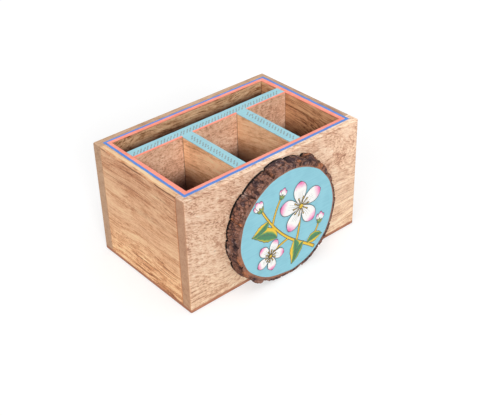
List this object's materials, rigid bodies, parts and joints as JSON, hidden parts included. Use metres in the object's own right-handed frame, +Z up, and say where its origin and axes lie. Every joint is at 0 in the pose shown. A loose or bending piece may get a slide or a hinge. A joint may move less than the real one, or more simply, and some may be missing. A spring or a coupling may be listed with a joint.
{
  "type": "cutlery box",
  "caption": "Open wooden cutlery box with upright wells, a napkin slot behind them and a painted bark-edged branch slice on its front; stands on a table.",
  "frame": {"origin": "centre of the base board's underside", "axes": "+X along the long front, +Y from the front to the back, +Z up"},
  "size_m": [0.2, 0.146, 0.1152],
  "materials": {
    "mango_wood": "satin, oiled",
    "base_panel": "matt, stained",
    "painted_slice": "satin paint",
    "bark": "rough",
    "steel": "bright",
    "coral_paint": "satin paint",
    "blue_paint": "satin paint",
    "turquoise_paint": "satin paint",
    "motif_paint": "satin paint"
  },
  "bodies": {
    "root": {"front_board": "mango_wood", "back_board": "mango_wood", "left_side_board": "mango_wood", "right_side_board": "mango_wood", "long_divider": "mango_wood", "left_cross_divider": "mango_wood", "right_cross_divider": "mango_wood", "base_board": "base_panel", "slice_heartwood": "painted_slice", "slice_bark": "bark", "front_corner_pins": "steel", "back_corner_pins": "steel", "long_divider_end_pins": "steel", "cross_divider_front_pins": "steel", "cross_divider_rear_pins": "steel", "base_nails": "steel", "slice_screws": "steel"}
  },
  "joints": []
}
